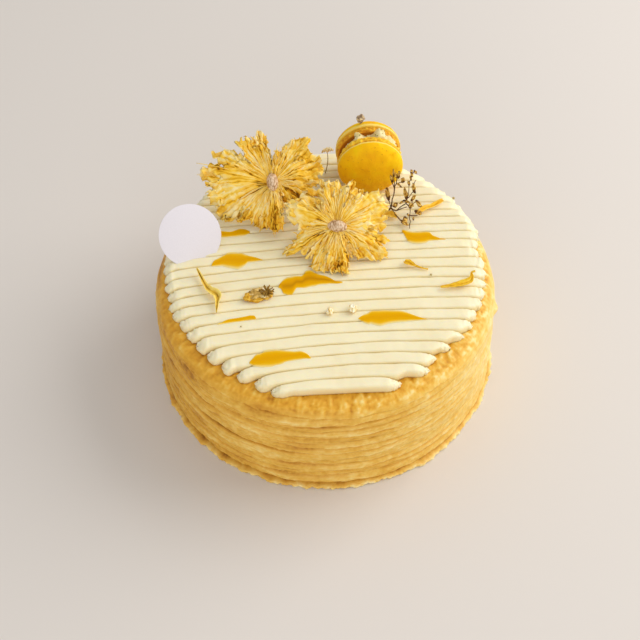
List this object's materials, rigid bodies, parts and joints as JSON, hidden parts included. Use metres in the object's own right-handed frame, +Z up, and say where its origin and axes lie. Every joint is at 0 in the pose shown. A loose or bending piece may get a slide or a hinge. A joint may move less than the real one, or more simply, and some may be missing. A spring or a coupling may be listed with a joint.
{
  "type": "mille crepe cake",
  "caption": "Round cake of stacked crepes with piped cream ropes, fruit puree, a macaron, dried flowers and a plain round card on top.",
  "frame": {"origin": "on the table, under the middle of the cake", "axes": "+Z up; -Y is the front, the side that the picture shows nearest; the piped ropes run along X"},
  "size_m": [0.1748, 0.1748, 0.1009],
  "materials": {
    "crepe": "browned, slightly moist crepe",
    "cream": "whipped cream, soft sheen",
    "puree": "glossy fruit puree",
    "petal": "dry papery petal",
    "shell": "matte baked almond shell",
    "filling": "pale cream with herb flecks",
    "sprig": "dry brown stems and buds",
    "card": "smooth off-white card",
    "bud": "dry flower buds"
  },
  "bodies": {
    "root": {"crepe_01": "crepe", "crepe_02": "crepe", "crepe_03": "crepe", "crepe_04": "crepe", "crepe_05": "crepe", "crepe_06": "crepe", "crepe_07": "crepe", "crepe_08": "crepe", "crepe_09": "crepe", "crepe_10": "crepe", "crepe_11": "crepe", "crepe_12": "crepe", "crepe_13": "crepe", "piped_cream": "cream", "puree_1": "puree", "puree_2": "puree", "puree_3": "puree", "puree_4": "puree", "puree_5": "puree", "puree_6": "puree", "puree_7": "puree", "flower_back": "petal", "flower_front": "petal", "flower_crumb": "petal", "petal_left": "petal", "petal_right": "petal", "petal_back": "petal", "petal_bit": "petal", "macaron_front": "shell", "macaron_back": "shell", "macaron_filling": "filling", "dried_sprig": "sprig", "card_tag": "card", "floret_stem": "bud", "floret_front": "bud", "bud_front": "bud", "bud_macaron": "bud"}
  },
  "joints": []
}
